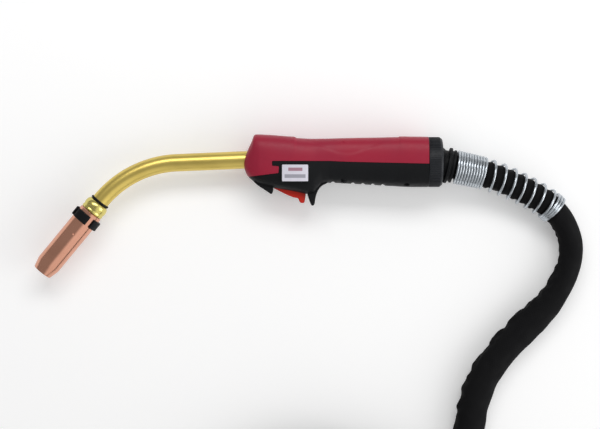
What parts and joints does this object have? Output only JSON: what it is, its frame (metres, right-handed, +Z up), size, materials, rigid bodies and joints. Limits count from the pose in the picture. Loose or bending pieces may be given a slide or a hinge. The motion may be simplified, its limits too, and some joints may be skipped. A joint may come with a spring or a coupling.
{
  "type": "mig welding torch",
  "caption": "Curved-neck MIG welding torch with a trigger handle, ball swivel, spring support and a coiled cable that ends in a central connector.",
  "frame": {"origin": "on the table under the middle of the torch without its cable, at the centre of its footprint", "axes": "+X along the handle from the neck to the cable, +Y from the trigger to the top of the handle, +Z up from the table on which the torch lies on its right side"},
  "size_m": [0.5474, 0.5918, 0.0508],
  "materials": {
    "copper": "polished copper with fine turning marks and a heat tint",
    "brass": "polished turned brass",
    "neck_brass": "satin drawn brass tube",
    "zinc": "bright zinc-plated steel wire",
    "red": "satin crimson moulded nylon",
    "black": "fine-grained black moulded nylon",
    "trigger": "satin orange-red moulded plastic",
    "label": "pale blank plate",
    "sleeve": "black woven protective sleeve",
    "rubber": "matte black rubber",
    "blue_hose": "blue hose",
    "red_hose": "red hose"
  },
  "bodies": {
    "root": {"swivel_ball": "black", "support_spring": "zinc", "cable_run": "sleeve", "cable_coil": "sleeve", "cable_tail": "sleeve", "coil_tie_1": "rubber", "coil_tie_2": "rubber", "connector_boot": "rubber", "connector_housing": "black", "connector_block": "brass", "wire_inlet_tube": "brass", "liner_nut": "brass", "gas_pin": "brass"},
    "seat": {"ball_seat_ring": "black"},
    "handle": {"neck_tube": "neck_brass", "neck_core_tube": "copper", "neck_seal_ring": "rubber", "neck_nut": "brass", "gas_diffuser": "brass", "nozzle_clip_ring": "zinc", "tip_holder": "brass", "contact_tip": "copper", "upper_shell": "red", "lower_shell": "black", "shell_screw_1": "black", "shell_screw_2": "black", "shell_screw_3": "black", "shell_screw_4": "black", "name_label": "label", "trigger_pin": "zinc", "microswitch_body": "black", "neck_clamp_block": "black", "power_hose": "red_hose", "water_hose": "blue_hose", "gas_hose": "rubber", "control_wire": "rubber"},
    "nozzle": {"gas_nozzle": "copper", "nozzle_insulator": "black"},
    "trigger": {"trigger": "trigger"},
    "plunger": {"switch_plunger": "trigger"},
    "collar": {"rear_collar": "black"},
    "hand_nut": {"connector_nut": "black"},
    "pin_1": {"control_pin_1": "brass"},
    "pin_2": {"control_pin_2": "brass"}
  },
  "joints": [
    {"name": "swivel_tilt", "type": "hinge", "parent": "root", "child": "seat", "pos_m": [0.1312, 0.0443, 0.025], "axis": [0, 0, 1], "range_deg": [-24, 0]},
    {"name": "swivel_roll", "type": "hinge", "parent": "seat", "child": "handle", "pos_m": [0.1312, 0.0443, 0.025], "axis": [1, 0, 0], "continuous": true},
    {"name": "trigger_pull", "type": "hinge", "parent": "handle", "child": "trigger", "pos_m": [-0.0228, 0.0217, 0.025], "axis": [0, 0, 1], "range_deg": [0, 4.5], "stiffness_Nm_per_rad": 0.3, "springref_deg": -8.59},
    {"name": "plunger_press", "type": "slide", "parent": "handle", "child": "plunger", "axis": [0, 1, 0], "range_m": [0, 0.002]},
    {"name": "nozzle_pull_off", "type": "slide", "parent": "handle", "child": "nozzle", "axis": [-0.6361, -0.7716, 0], "range_m": [0, 0.078]},
    {"name": "collar_turn", "type": "hinge", "parent": "handle", "child": "collar", "pos_m": [0.1342, 0.0443, 0.025], "axis": [1, 0, 0], "continuous": true},
    {"name": "hand_nut_turn", "type": "hinge", "parent": "root", "child": "hand_nut", "pos_m": [-0.2076, -0.4957, 0.023], "axis": [1, 0, 0], "continuous": true},
    {"name": "pin_1_press", "type": "slide", "parent": "root", "child": "pin_1", "axis": [1, 0, 0], "range_m": [0, 0.002], "stiffness_N_per_m": 150, "springref_m": -0.002},
    {"name": "pin_2_press", "type": "slide", "parent": "root", "child": "pin_2", "axis": [1, 0, 0], "range_m": [0, 0.002], "stiffness_N_per_m": 150, "springref_m": -0.002}
  ],
  "couplings": [
    {"joint": "plunger_press", "follows": "trigger_pull", "m_per_rad": 0.023}
  ]
}
